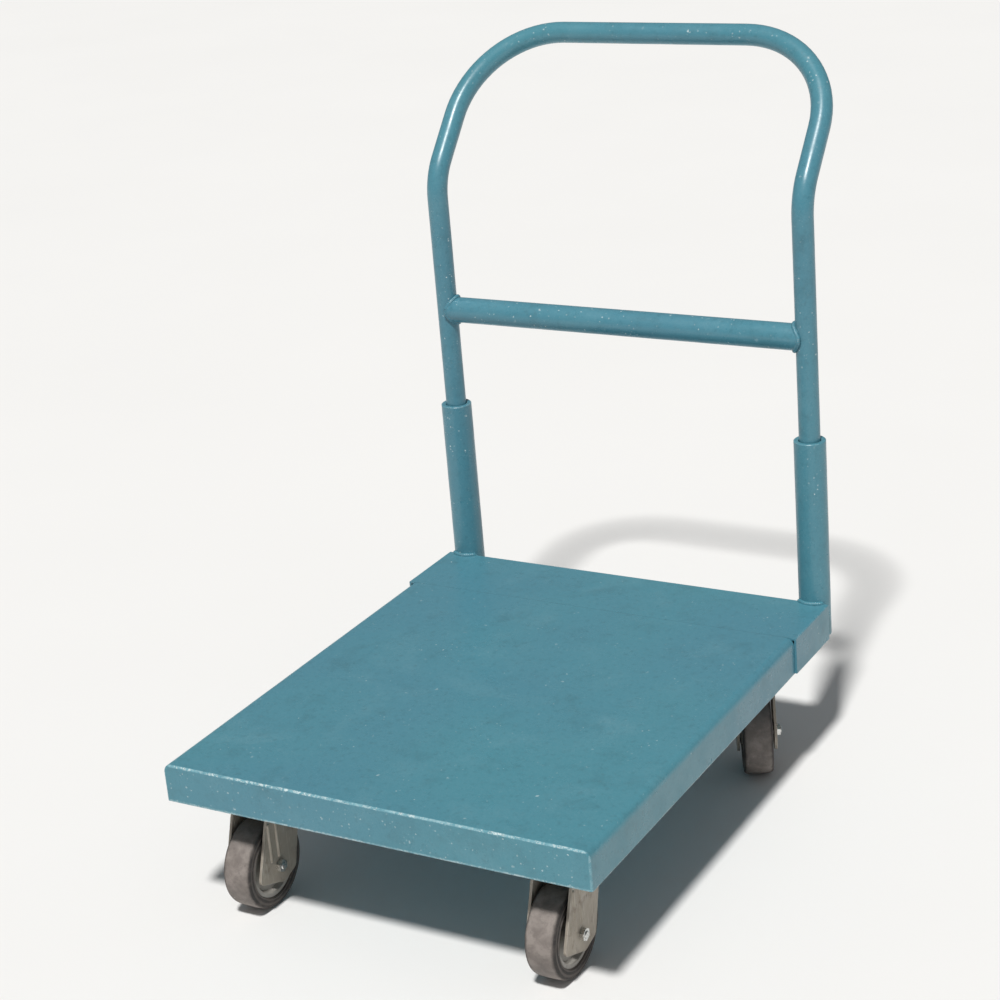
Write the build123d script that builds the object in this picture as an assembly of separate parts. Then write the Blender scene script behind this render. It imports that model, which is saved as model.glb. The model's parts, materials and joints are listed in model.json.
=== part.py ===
from build123d import *
import os
from math import cos, radians, sin

# Platform cart, millimetres. +Z is up, +Y points to the handle end, +X to the cart's right hand
# seen from the handle. The origin is on the floor, under the middle of the whole cart.

# ---- Driving dimensions ----

# Deck: a folded pan, closed at the handle end by a saddle of the same sheet.
deck_width = 520.0
deck_length = 625.0
deck_depth = 44.5
deck_sheet = 2.7
side_roll = 10.0            # outer radius of the pan's long top edges
front_fold = 2.5            # outer radius round the pan's front face
saddle_length = 103.0
saddle_fold = 1.5
side_lap = 30.0             # how far the pan's sides run on inside the saddle

# Cross members: channels under the deck, open side up, welded to its underside.
member_sheet = 3.0
front_member_width = 84.0
rear_member_width = 98.0
member_end_gap = 0.5
member_weld_leg = 4.0
member_weld_length = 40.0
member_weld_count = 4       # welds along each edge of each member

# Handle: a bent tube that stands in two sockets and lifts out.
tube_diameter = 25.4
tube_wall = 2.0
leg_height = 494.6          # deck to the kink
kink_angle = 41.3           # how far the upper part leans back from upright
kink_radius = 69.0
lean_length = 205.3         # kink to the top bar's axis
corner_radius = 119.0
crossbar_height = 327.5     # deck to the crossbar's axis
crossbar_diameter = 31.75
crossbar_wall = 1.65
crossbar_inset = 6.0        # crossbar end short of the leg's axis
crossbar_weld_leg = 4.5
socket_diameter = 38.1
socket_height = 203.0       # above the deck; the socket also runs down to the deck's lower edge
socket_gap = 0.5            # radial gap between tube and socket
socket_rim = 0.8
socket_inset = 22.7         # socket axis in from the saddle's side face
socket_overhang = 12.0      # socket axis behind the saddle's rear face
socket_notch_gap = 0.1
socket_cap_thickness = 4.0
socket_weld_leg = 3.4
socket_weld_height = 4.5

# Casters: two rigid at the front, two swivelling at the handle end.
caster_height = 143.0       # floor to the plate's top face
front_caster_inset = 72.0   # casters' middles in from the pan's side faces
rear_caster_inset = 75.0
front_axle_inset = 58.5     # axle behind the deck's front face
rear_kingpin_inset = 57.5   # kingpin in front of the deck's rear face
plate_thickness = 4.0
plate_width = 92.0
plate_length = 64.0
plate_corner = 6.0
plate_hole_x = 73.0
plate_hole_y = 44.0

# Forks.
fork_gap = 41.5
fork_sheet = 3.0
fork_bend = 3.0
fork_hole_gap = 0.2
front_trail = 24.0          # front axle ahead of its plate's middle
front_leg_width = 62.0      # leg's width at the plate, front to rear
front_leg_foot = ((-38.0, -6.0), (5.0, -23.0), (29.0, -16.0))    # its lower corners, from the axle
front_leg_corner = 6.0
front_leg_shoulder = 6.0    # upright edge under the web
rib_radius = 2.6
rib_proud = 1.8
rib_places = (-13.0, 1.0)   # front to rear, from the axle
rib_foot = 12.0             # rib's lower end above the axle
rib_length = 44.0

# Swivel.
trail = 35.0
right_rest_turn = 27.0      # how the rear casters stand at rest, degrees about +Z
left_rest_turn = 14.0
race_radius = 31.0
race_drop = 8.0             # depth of the raceway boss under the plate
race_gap = 2.0              # between the plate's raceway and the crown
race_edge = 2.5
ball_diameter = 6.35
ball_ring_radius = 24.0
ball_count = 18
ball_gap = 0.05
crown_thickness = 5.0
swivel_leg_fore = 30.0      # leg's top, ahead of the kingpin
swivel_leg_aft = 27.0
swivel_leg_shoulder = 6.0
swivel_lobe_radius = 23.0
kingpin_diameter = 12.0
kingpin_head_diameter = 24.0
kingpin_head_height = 4.0
kingpin_tail_diameter = 20.0
kingpin_tail_height = 4.0
kingpin_gap = 0.08
race_cap_radius = 19.0
race_cap_thickness = 5.0
race_cap_gap = 0.3

# Wheels.
wheel_diameter = 101.6
tread_width = 35.0
tread_flat = 28.0
tyre_thickness = 12.8       # tread to bore
tyre_root_width = 29.0
sidewall_rib = 1.2
core_rim_thickness = 4.0
core_rim_width = 31.0
core_web_width = 19.0
hub_radius = 14.0
hub_side_gap = 1.0          # hub face to fork leg
bush_radius = 8.0
sleeve_radius = 6.0
axle_running_gap = 0.05
axle_diameter = 8.0
axle_fit_gap = 0.15

# Fasteners.
bolt_diameter = 8.0
bolt_hole_gap = 0.5
hex_across_flats = 13.0
bolt_head_height = 5.3
axle_head_height = 5.0
axle_nut_height = 5.0
thread_end = 1.2            # thread that shows past a nut
thread_gap = 0.1
weld_nut_height = 6.5
washer_radius = 7.0
washer_thickness = 2.0
washer_split = 1.2

# ---- Worked out from the above ----

tube_radius = tube_diameter / 2
socket_radius = socket_diameter / 2
crossbar_radius = crossbar_diameter / 2
saddle_half_width = deck_width / 2 + deck_sheet
socket_x = saddle_half_width - socket_inset
lean_back = lean_length * sin(radians(kink_angle))
lean_up = lean_length * cos(radians(kink_angle))
handle_overhang = socket_overhang + lean_back + tube_radius
deck_front = -(deck_length + handle_overhang) / 2
deck_rear = deck_front + deck_length
seam_y = deck_rear - saddle_length
leg_y = deck_rear + socket_overhang
deck_bottom = caster_height
deck_top = deck_bottom + deck_depth
deck_underside = deck_top - deck_sheet
pan_inner_half = deck_width / 2 - deck_sheet
leg_foot = deck_bottom + socket_cap_thickness

wheel_radius = wheel_diameter / 2
tyre_inner_radius = wheel_radius - tyre_thickness
hub_width = fork_gap - 2 * hub_side_gap
front_caster_x = deck_width / 2 - front_caster_inset
rear_caster_x = deck_width / 2 - rear_caster_inset
front_axle_y = deck_front + front_axle_inset
kingpin_y = deck_rear - rear_kingpin_inset
front_plate_y = front_axle_y + front_trail
plate_underside = caster_height - plate_thickness
fork_outer = fork_gap / 2 + fork_sheet
race_face = plate_underside - race_drop
crown_top = race_face - race_gap
crown_bottom = crown_top - crown_thickness
ball_radius = ball_diameter / 2
ball_level = (race_face + crown_top) / 2
axle_radius = axle_diameter / 2
bolt_radius = bolt_diameter / 2
sleeve_bore = axle_radius + axle_fit_gap
bush_bore = sleeve_radius + axle_running_gap
axle_hole = axle_radius + fork_hole_gap

side_plane = Plane(origin=(0, 0, 0), x_dir=(0, 1, 0), z_dir=(1, 0, 0))
along_x = Rot(0, 90, 0)
above = (Align.CENTER, Align.CENTER, Align.MIN)
below = (Align.CENTER, Align.CENTER, Align.MAX)
behind_above = (Align.CENTER, Align.MIN, Align.MIN)
ahead_above = (Align.CENTER, Align.MAX, Align.MIN)
behind_below = (Align.CENTER, Align.MIN, Align.MAX)


def ring(outer, inner, height):
    """A flat ring or tube standing on the local XY plane."""
    return Cylinder(outer, height, align=above) - Cylinder(inner, height, align=above)


def hexagon(height):
    """A hexagonal prism standing on the local XY plane."""
    return extrude(RegularPolygon(hex_across_flats / 2, 6, major_radius=False), height)


# ---- Deck ----

def deck_pan():
    """Sheet folded down at the front and both sides, its sides running on inside the saddle."""
    length = deck_length - saddle_length
    outer = Pos(0, deck_front, deck_bottom) * Box(deck_width, length, deck_depth, align=behind_above)
    outer = fillet(outer.edges().filter_by(Axis.Y).group_by(Axis.Z)[-1], side_roll)
    front_edges = outer.faces().sort_by(Axis.Y)[0].edges()
    outer = fillet(front_edges.sort_by(Axis.Z)[1:], front_fold)
    hollow = Box(2 * pan_inner_half, length, deck_depth - deck_sheet, align=behind_above)
    hollow = fillet(hollow.edges().filter_by(Axis.Y).group_by(Axis.Z)[-1], side_roll - deck_sheet)
    pan = outer - Pos(0, deck_front + deck_sheet, deck_bottom) * hollow
    tongue = Box(deck_sheet, side_lap, deck_depth - side_roll, align=behind_above)
    for side in (-1, 1):
        pan += Pos(side * (deck_width - deck_sheet) / 2, seam_y, deck_bottom) * tongue
    return pan


def rear_saddle():
    """Sheet folded down at the rear and both sides, flush on top and notched for the sockets."""
    outer = Box(2 * saddle_half_width, saddle_length, deck_depth, align=behind_above)
    folds = outer.edges().filter_by(Axis.Y).group_by(Axis.Z)[-1]
    folds += outer.faces().sort_by(Axis.Y)[-1].edges().sort_by(Axis.Z)[1:]
    outer = fillet(folds, saddle_fold)
    hollow = Box(deck_width, saddle_length - deck_sheet, deck_depth - deck_sheet, align=behind_above)
    saddle = Pos(0, seam_y, deck_bottom) * (outer - hollow)
    for side in (-1, 1):
        saddle -= Pos(side * socket_x, leg_y, deck_bottom) * Cylinder(
            socket_radius + socket_notch_gap, deck_depth, align=above
        )
    return saddle


def bolt_places(plate_x, plate_y):
    """The four bolt positions of both plates whose middles are at plate_y, plate_x to each side."""
    return [
        (side * plate_x + across * plate_hole_x / 2, plate_y + along * plate_hole_y / 2)
        for side in (-1, 1)
        for across in (-1, 1)
        for along in (-1, 1)
    ]


def cross_member(middle_y, width, plate_x):
    """Channel with its web level with the deck's lower edge and its flanges up to the sheet."""
    half = pan_inner_half - member_end_gap
    height = deck_underside - deck_bottom
    outline = Polyline(
        (-half, 0), (half, 0), (half, height - side_roll), (half - side_roll, height),
        (side_roll - half, height), (-half, height - side_roll), close=True,
    )
    body = Pos(0, width / 2, 0) * extrude(Plane.XZ * make_face(outline), width)
    inside = Box(2 * half, width - 2 * member_sheet, height, align=above)
    channel = Pos(0, middle_y, deck_bottom) * (body - Pos(0, 0, member_sheet) * inside)
    for x, y in bolt_places(plate_x, middle_y):
        hole = Cylinder(bolt_radius + bolt_hole_gap, 2 * member_sheet)
        channel -= Pos(x, y, deck_bottom + member_sheet / 2) * hole
    return channel


def member_welds():
    """Short fillet welds where each member's flanges meet the deck's underside."""
    corner = Polyline((0, 0), (member_weld_leg, 0), (0, -member_weld_leg), close=True)
    bead = extrude(side_plane * make_face(corner), member_weld_length / 2, both=True)
    pitch = 2 * pan_inner_half / member_weld_count
    xs = [(i + 0.5) * pitch - pan_inner_half for i in range(member_weld_count)]
    beads = []
    for middle_y, width in ((front_plate_y, front_member_width), (kingpin_y, rear_member_width)):
        for x in xs:
            for edge, turn in ((1, 0), (-1, 180)):
                place = Pos(x, middle_y + edge * width / 2, deck_underside)
                beads.append(place * Rot(0, 0, turn) * bead)
    clear = [b for b in beads if b.bounding_box().min.Y > deck_front + deck_sheet]
    return Compound(clear)


# ---- Handle and its sockets ----

def socket(side):
    """Tube let into the saddle's rear edge and standing up from it."""
    tube = ring(socket_radius, tube_radius + socket_gap, deck_depth + socket_height)
    tube = chamfer(tube.edges().group_by(Axis.Z)[-1], socket_rim)
    return Pos(side * socket_x, leg_y, deck_bottom) * tube


def socket_caps():
    """Discs that close the sockets' lower ends; the handle's legs stand on them."""
    cap = Cylinder(tube_radius + socket_gap, socket_cap_thickness, align=above)
    return Compound([Pos(side * socket_x, leg_y, deck_bottom) * cap for side in (-1, 1)])


def socket_welds():
    """A weld round the front of each socket on the deck, and down both its sides behind."""
    reach = socket_radius + socket_weld_leg
    bead = Cone(reach, socket_radius + socket_notch_gap, socket_weld_height, align=above)
    bead &= Pos(0, socket_weld_leg - socket_overhang, 0) * Box(
        2 * reach, 2 * reach, socket_weld_height, align=ahead_above
    )
    bead += Cylinder(reach, deck_depth, align=below) & Pos(0, -socket_overhang, 0) * Box(
        2 * reach, socket_weld_leg, deck_depth, align=behind_below
    )
    bead -= Cylinder(socket_radius, 3 * deck_depth)
    return Compound([Pos(side * socket_x, leg_y, deck_top) * bead for side in (-1, 1)])


def handle_hoop():
    """One tube: upright legs, kinked back, with a straight top bar between two wide corners."""
    kink_z = deck_top + leg_height
    bar_y = leg_y + lean_back
    bar_z = kink_z + lean_up
    path = FilletPolyline(
        (-socket_x, leg_y, leg_foot), (-socket_x, leg_y, kink_z), (-socket_x, bar_y, bar_z),
        (socket_x, bar_y, bar_z), (socket_x, leg_y, kink_z), (socket_x, leg_y, leg_foot),
        radius=[kink_radius, corner_radius, corner_radius, kink_radius],
    )
    foot = Pos(-socket_x, leg_y, leg_foot)
    return sweep(foot * (Circle(tube_radius) - Circle(tube_radius - tube_wall)), path=path)


def leg_cores():
    """Solid rods where the handle's legs are, to cut what is fitted round them."""
    rod = Cylinder(tube_radius, leg_height, align=above)
    return [Pos(side * socket_x, leg_y, deck_top) * rod for side in (-1, 1)]


def handle_crossbar():
    """Tube between the legs, its ends hollowed to fit them."""
    length = 2 * (socket_x - crossbar_inset)
    bar = Cylinder(crossbar_radius, length) - Cylinder(crossbar_radius - crossbar_wall, length)
    bar = Pos(0, leg_y, deck_top + crossbar_height) * along_x * bar
    for rod in leg_cores():
        bar -= rod
    return bar.solids().sort_by(SortBy.VOLUME)[-1]


def crossbar_welds():
    """A weld round each end of the crossbar, following the leg."""
    reach = tube_radius + crossbar_weld_leg
    run = reach - crossbar_inset / 2
    height = 2 * (crossbar_radius + crossbar_weld_leg)
    round_leg = Pos(0, 0, -height / 2) * ring(reach, tube_radius, height)
    round_bar = along_x * ring(crossbar_radius + crossbar_weld_leg / 2, crossbar_radius, run)
    bead = round_leg & (Pos(-reach, 0, 0) * round_bar)
    level = deck_top + crossbar_height
    return Compound([
        Pos(side * socket_x, leg_y, level) * Rot(0, 0, turn) * bead
        for side, turn in ((-1, 180), (1, 0))
    ])


# ---- Caster plates and their bolts ----

def caster_plate():
    """Flat plate with four holes, its top face at the caster's full height."""
    plate = extrude(RectangleRounded(plate_width, plate_length, plate_corner), plate_thickness)
    plate = Pos(0, 0, plate_underside) * plate
    hole = Cylinder(bolt_radius + bolt_hole_gap, 2 * caster_height)
    for across in (-1, 1):
        for along in (-1, 1):
            plate -= Pos(across * plate_hole_x / 2, along * plate_hole_y / 2, 0) * hole
    return plate


def ball_groove():
    """The ring-shaped space that the balls run in."""
    return Pos(0, 0, ball_level) * Torus(ball_ring_radius, ball_radius + ball_gap)


def swivel_plate():
    """Caster plate with a raceway boss below and a recess above for the kingpin's head."""
    boss = Cylinder(race_radius, race_drop, align=above)
    boss = fillet(boss.edges().sort_by(Axis.Z)[0], race_edge)
    plate = caster_plate() + Pos(0, 0, race_face) * boss
    head_seat = caster_height - 2 * kingpin_head_height
    plate -= Pos(0, 0, head_seat) * Cylinder(kingpin_head_diameter / 2, caster_height, align=above)
    plate -= Cylinder(kingpin_diameter / 2, caster_height, align=above)
    return plate - ball_groove()


def plate_bolts():
    """Hexagon-head bolts, driven up through plate and member."""
    head_foot = plate_underside - washer_thickness - bolt_head_height
    shank = washer_thickness + plate_thickness + member_sheet + weld_nut_height + thread_end
    bolt = hexagon(bolt_head_height)
    bolt += Pos(0, 0, bolt_head_height) * Cylinder(bolt_radius, shank, align=above)
    return Compound([Pos(x, y, head_foot) * bolt for x, y in all_bolt_places()])


def lock_washers():
    """Split washers under the bolt heads."""
    washer = ring(washer_radius, bolt_radius + thread_gap, washer_thickness)
    washer -= Pos(washer_radius / 2, 0, 0) * Box(washer_radius, washer_split, 3 * washer_thickness)
    level = plate_underside - washer_thickness
    return Compound([Pos(x, y, level) * washer for x, y in all_bolt_places()])


def weld_nuts():
    """Nuts welded inside the members."""
    nut = hexagon(weld_nut_height) - Cylinder(bolt_radius + thread_gap, 3 * weld_nut_height)
    level = deck_bottom + member_sheet
    return Compound([Pos(x, y, level) * nut for x, y in all_bolt_places()])


def all_bolt_places():
    """Bolt positions of all four casters."""
    return bolt_places(front_caster_x, front_plate_y) + bolt_places(rear_caster_x, kingpin_y)


# ---- Forks ----

def fork_legs(profile):
    """Two legs of the same side profile, one each side of the wheel."""
    legs = [
        Pos(x, 0, 0) * extrude(side_plane * profile, fork_sheet)
        for x in (-fork_outer, fork_gap / 2)
    ]
    return legs[0] + legs[1]


def bent_over(web, legs):
    """Web and legs as one bent sheet, rounded where the sheet turns down."""
    body = web + legs
    top = body.edges().filter_by(Axis.Y).group_by(Axis.Z)[-1]
    return fillet(top, fork_bend)


def front_fork():
    """Rigid fork: a web under the plate and two legs that lean forward to the axle, with pressed ribs."""
    top = plate_underside - wheel_radius
    front = front_trail - front_leg_width / 2
    rear = front + front_leg_width
    shoulder = top - front_leg_shoulder
    leg = Polygon(
        *front_leg_foot, (rear, shoulder), (rear, top), (front, top), (front, shoulder), align=None
    )
    leg = fillet(leg.vertices().sort_by(Axis.Y)[:len(front_leg_foot)], front_leg_corner)
    web = Box(2 * fork_outer, front_leg_width, fork_sheet)
    web = Pos(0, front_trail, top - fork_sheet / 2) * web
    fork = bent_over(web, fork_legs(leg - Circle(axle_hole)))
    rib = Cylinder(rib_radius, rib_length, align=above)
    rib += Sphere(rib_radius)
    rib += Pos(0, 0, rib_length) * Sphere(rib_radius)
    for side in (-1, 1):
        for y in rib_places:
            fork += Pos(side * (fork_outer + rib_proud - rib_radius), y, rib_foot) * rib
    return Pos(0, 0, wheel_radius) * fork


def swivel_fork():
    """Swivelling fork about the kingpin: a round crown and two legs that reach back to the axle."""
    shoulder = Pos((swivel_leg_aft - swivel_leg_fore) / 2, crown_top - swivel_leg_shoulder / 2)
    upper = shoulder * Rectangle(swivel_leg_fore + swivel_leg_aft, swivel_leg_shoulder)
    lobe = Pos(-trail, wheel_radius) * Circle(swivel_lobe_radius)
    axle = Pos(-trail, wheel_radius) * Circle(axle_hole)
    profile = make_hull(upper.edges() + lobe.edges()) - axle
    web = Box(2 * fork_outer, swivel_leg_fore + swivel_leg_aft, crown_thickness)
    web = Pos(0, (swivel_leg_aft - swivel_leg_fore) / 2, crown_top - crown_thickness / 2) * web
    fork = bent_over(web, fork_legs(profile))
    fork += Pos(0, 0, crown_bottom) * Cylinder(race_radius, crown_thickness, align=above)
    fork -= Pos(0, 0, crown_bottom) * Cylinder(
        kingpin_diameter / 2 + kingpin_gap, crown_thickness, align=above
    )
    return fork - ball_groove()


def race_balls():
    """The ring of balls between plate and crown."""
    step = 360 / ball_count
    return Compound([
        Rot(0, 0, i * step) * Pos(ball_ring_radius, 0, ball_level) * Sphere(ball_radius)
        for i in range(ball_count)
    ])


def kingpin():
    """Rivet: head in the plate's recess, tail closed over the race cap."""
    head_seat = caster_height - 2 * kingpin_head_height
    cap_bottom = crown_bottom - race_cap_gap - race_cap_thickness
    pin = Pos(0, 0, cap_bottom) * Cylinder(kingpin_diameter / 2, head_seat - cap_bottom, align=above)
    head = Cylinder(kingpin_head_diameter / 2, kingpin_head_height, align=above)
    tail = Cylinder(kingpin_tail_diameter / 2, kingpin_tail_height, align=above)
    tail = fillet(tail.edges().sort_by(Axis.Z)[0], kingpin_tail_height / 2)
    return pin + Pos(0, 0, head_seat) * head + Pos(0, 0, cap_bottom - kingpin_tail_height) * tail


def race_cap():
    """Round cap that the kingpin's tail holds under the crown."""
    cap = ring(race_cap_radius, kingpin_diameter / 2, race_cap_thickness)
    cap = fillet(cap.edges().group_by(Axis.Z)[0].sort_by(SortBy.LENGTH)[-1], race_edge)
    return Pos(0, 0, crown_bottom - race_cap_gap - race_cap_thickness) * cap


# ---- Wheels and axles, about an axle along X through the local origin ----

def spun(points):
    """Solid of revolution about X from an outline of (across, radius) points."""
    return revolve(make_face(Polyline(*points, close=True)), Axis.X)


def tyre():
    """Solid rubber ring: flat tread, rounded shoulders and a raised rib on each sidewall."""
    half = tread_width / 2
    root = tyre_root_width / 2
    shoulder_drop = half - tread_flat / 2
    side_low = tyre_inner_radius + (half - root)
    side_high = wheel_radius - shoulder_drop
    rib_low = side_low + sidewall_rib
    rib_high = side_high - 2 * sidewall_rib

    def half_outline(sign):
        inner = Polyline(
            (sign * root, tyre_inner_radius), (sign * (half - sidewall_rib), side_low),
            (sign * (half - sidewall_rib), rib_low), (sign * half, rib_low + sidewall_rib),
            (sign * half, rib_high), (sign * (half - sidewall_rib), rib_high + sidewall_rib),
            (sign * (half - sidewall_rib), side_high),
        )
        shoulder = RadiusArc(
            (sign * (half - sidewall_rib), side_high), (sign * tread_flat / 2, wheel_radius),
            -sign * 1.02 * shoulder_drop,
        )
        return inner, shoulder

    right_inner, right_shoulder = half_outline(1)
    left_inner, left_shoulder = half_outline(-1)
    tread = Line((-tread_flat / 2, wheel_radius), (tread_flat / 2, wheel_radius))
    bore = Line((-root, tyre_inner_radius), (root, tyre_inner_radius))
    outline = right_inner + right_shoulder + tread + left_shoulder + left_inner + bore
    return revolve(make_face(outline), Axis.X)


def wheel_core():
    """Rim, web and hub in one, bored for the bush."""
    rim = core_rim_width / 2
    web = core_web_width / 2
    hub = hub_width / 2
    rim_inner = tyre_inner_radius - core_rim_thickness
    slope = (rim - web) / 2
    return spun([
        (-rim, tyre_inner_radius), (rim, tyre_inner_radius), (rim, rim_inner),
        (web, rim_inner - slope), (web, hub_radius + slope), (hub, hub_radius),
        (hub, bush_radius), (-hub, bush_radius), (-hub, hub_radius),
        (-web, hub_radius + slope), (-web, rim_inner - slope), (-rim, rim_inner),
    ])


def wheel_bush():
    """Plain bush, fixed in the core and running on the axle sleeve."""
    return along_x * Pos(0, 0, -hub_width / 2) * ring(bush_radius, bush_bore, hub_width)


def axle_sleeve():
    """Spacer tube that the axle bolt clamps between the legs."""
    return along_x * Pos(0, 0, -fork_gap / 2) * ring(sleeve_radius, sleeve_bore, fork_gap)


def axle_bolt():
    """Hexagon-head bolt through both legs, its head on the left."""
    shank = 2 * fork_outer + axle_nut_height + thread_end
    bolt = hexagon(axle_head_height)
    bolt += Pos(0, 0, axle_head_height) * Cylinder(axle_radius, shank, align=above)
    bolt = chamfer(bolt.edges().group_by(Axis.Z)[-1], axle_radius / 6)
    return along_x * Pos(0, 0, -fork_outer - axle_head_height) * bolt


def axle_nut():
    """Nut on the right-hand end of the axle bolt."""
    nut = hexagon(axle_nut_height) - Cylinder(axle_radius + thread_gap, 3 * axle_nut_height)
    return along_x * Pos(0, 0, fork_outer) * nut


# ---- Assembly ----

nodes = {
    "deck_pan": deck_pan(),
    "rear_saddle": rear_saddle(),
    "front_cross_member": cross_member(front_plate_y, front_member_width, front_caster_x),
    "rear_cross_member": cross_member(kingpin_y, rear_member_width, rear_caster_x),
    "member_welds": member_welds(),
    "left_socket": socket(-1),
    "right_socket": socket(1),
    "socket_caps": socket_caps(),
    "socket_welds": socket_welds(),
    "handle_hoop": handle_hoop(),
    "handle_crossbar": handle_crossbar(),
    "crossbar_welds": crossbar_welds(),
    "plate_bolts": plate_bolts(),
    "lock_washers": lock_washers(),
    "weld_nuts": weld_nuts(),
}

wheel_pieces = {
    "tyre": tyre(),
    "wheel_core": wheel_core(),
    "wheel_bush": wheel_bush(),
    "axle_sleeve": axle_sleeve(),
    "axle_bolt": axle_bolt(),
    "axle_nut": axle_nut(),
}

swivel_pieces = {
    "plate": swivel_plate(),
    "kingpin": kingpin(),
    "race_cap": race_cap(),
}

turning_pieces = {
    "fork": swivel_fork(),
    "race_balls": race_balls(),
}

for name, side, rest_turn in (("left", -1, left_rest_turn), ("right", 1, right_rest_turn)):
    front_axle = Pos(side * front_caster_x, front_axle_y, wheel_radius)
    nodes[f"front_{name}_plate"] = Pos(side * front_caster_x, front_plate_y, 0) * caster_plate()
    nodes[f"front_{name}_fork"] = Pos(side * front_caster_x, front_axle_y, 0) * front_fork()
    pivot = Pos(side * rear_caster_x, kingpin_y, 0)
    turned = pivot * Rot(0, 0, rest_turn)
    for piece, shape in swivel_pieces.items():
        nodes[f"rear_{name}_{piece}"] = pivot * shape
    for piece, shape in turning_pieces.items():
        nodes[f"rear_{name}_{piece}"] = turned * shape
    for piece, shape in wheel_pieces.items():
        nodes[f"front_{name}_{piece}"] = front_axle * shape
        nodes[f"rear_{name}_{piece}"] = turned * Pos(0, -trail, wheel_radius) * shape

os.makedirs("parts", exist_ok=True)
for name, shape in nodes.items():
    export_step(shape, f"parts/{name}.step")
    print(f"{name:26s} {len(shape.solids()):3d} solids {shape.volume / 1000:9.2f} cm3")
print(len(nodes), "nodes")
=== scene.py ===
import json
import math
import bpy
import numpy as np
from mathutils import Matrix, Vector


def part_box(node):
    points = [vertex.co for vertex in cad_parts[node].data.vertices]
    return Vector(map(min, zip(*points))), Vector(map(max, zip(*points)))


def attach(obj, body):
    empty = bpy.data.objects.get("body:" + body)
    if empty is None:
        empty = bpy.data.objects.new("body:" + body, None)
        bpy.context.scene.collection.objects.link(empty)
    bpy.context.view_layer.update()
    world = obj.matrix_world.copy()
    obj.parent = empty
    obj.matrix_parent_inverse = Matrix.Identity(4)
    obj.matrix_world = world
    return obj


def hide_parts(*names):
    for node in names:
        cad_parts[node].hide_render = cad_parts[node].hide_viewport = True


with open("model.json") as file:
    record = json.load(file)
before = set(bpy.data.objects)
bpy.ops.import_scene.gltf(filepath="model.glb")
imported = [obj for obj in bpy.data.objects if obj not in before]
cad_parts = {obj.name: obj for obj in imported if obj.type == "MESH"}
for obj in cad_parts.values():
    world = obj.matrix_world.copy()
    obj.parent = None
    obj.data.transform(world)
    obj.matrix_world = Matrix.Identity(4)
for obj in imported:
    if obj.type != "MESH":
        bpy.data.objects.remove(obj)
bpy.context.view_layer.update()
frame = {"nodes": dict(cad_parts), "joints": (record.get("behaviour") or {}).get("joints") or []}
nodes = frame["nodes"]
joints = {joint["name"]: joint for joint in frame["joints"]}
print("frame loaded,", len(nodes), "CAD nodes")


def addNode(tree, kind, **settings):
    made = tree.nodes.new("ShaderNode" + kind)
    for key, value in settings.items():
        setattr(made, key, value)
    return made


def feed(tree, target, source):  # source is another node's output, or a plain value
    if isinstance(source, bpy.types.NodeSocket):
        tree.links.new(source, target)
    else:
        target.default_value = source


def calc(tree, operation, first, second=0.0, third=0.0):
    made = addNode(tree, "Math", operation=operation)
    for target, source in zip(made.inputs, (first, second, third)):
        feed(tree, target, source)
    return made.outputs[0]


def times(tree, first, second):
    return calc(tree, "MULTIPLY", first, second)


def calcVector(tree, operation, *sources):
    made = addNode(tree, "VectorMath", operation=operation)
    for target, source in zip(made.inputs, sources):
        feed(tree, target, source)
    return made.outputs[0]


def fade(tree, value, low, high, start=0.0, end=1.0):  # start below low, end above high, smooth between
    made = addNode(tree, "MapRange", interpolation_type="SMOOTHSTEP")
    ends = {"Value": value, "From Min": low, "From Max": high, "To Min": start, "To Max": end}
    for name, source in ends.items():
        feed(tree, made.inputs[name], source)
    return made.outputs[0]


def tint(tree, share, first, second, way="MIX"):  # first where share is 0, second where it is 1
    made = addNode(tree, "Mix", data_type="RGBA", blend_type=way)
    feed(tree, made.inputs[0], share)
    feed(tree, made.inputs[6], (*first, 1.0) if isinstance(first, tuple) else first)
    feed(tree, made.inputs[7], (*second, 1.0) if isinstance(second, tuple) else second)
    return made.outputs[2]


def onPiece(tree, stretch=(1.0, 1.0, 1.0)):  # metres on the piece itself, stretched per axis
    place = addNode(tree, "TexCoord").outputs["Object"]
    mapping = addNode(tree, "Mapping", vector_type="POINT")
    feed(tree, mapping.inputs["Vector"], place)
    mapping.inputs["Scale"].default_value = stretch
    return mapping.outputs[0]


def cloud(tree, place, scale, detail=3.0, roughness=0.55, distortion=0.0):
    made = addNode(tree, "TexNoise")
    settings = {"Scale": scale, "Detail": detail, "Roughness": roughness, "Distortion": distortion}
    feed(tree, made.inputs["Vector"], place)
    for name, source in settings.items():
        feed(tree, made.inputs[name], source)
    return made.outputs[0]


def specks(tree, place, scale, size, share):  # ragged dots in a share of the cells, size in cells
    stray = addNode(tree, "TexNoise")
    feed(tree, stray.inputs["Vector"], place)
    feed(tree, stray.inputs["Scale"], scale * 2.2)
    place = calcVector(tree, "MULTIPLY_ADD", stray.outputs["Color"], (0.8 / scale,) * 3, place)
    made = addNode(tree, "TexVoronoi", feature="F1")
    feed(tree, made.inputs["Vector"], place)
    feed(tree, made.inputs["Scale"], scale)
    lottery = addNode(tree, "SeparateColor")
    feed(tree, lottery.inputs[0], made.outputs["Color"])
    picked = calc(tree, "LESS_THAN", lottery.outputs[0], share)
    ownSize = times(tree, fade(tree, lottery.outputs[1], 0.0, 1.0, 0.45, 1.0), size)
    near = fade(tree, calc(tree, "DIVIDE", made.outputs["Distance"], ownSize), 0.6, 1.0, 1.0, 0.0)
    strength = fade(tree, lottery.outputs[2], 0.0, 1.0, 0.3, 1.0)
    return times(tree, times(tree, picked, near), strength)


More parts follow.
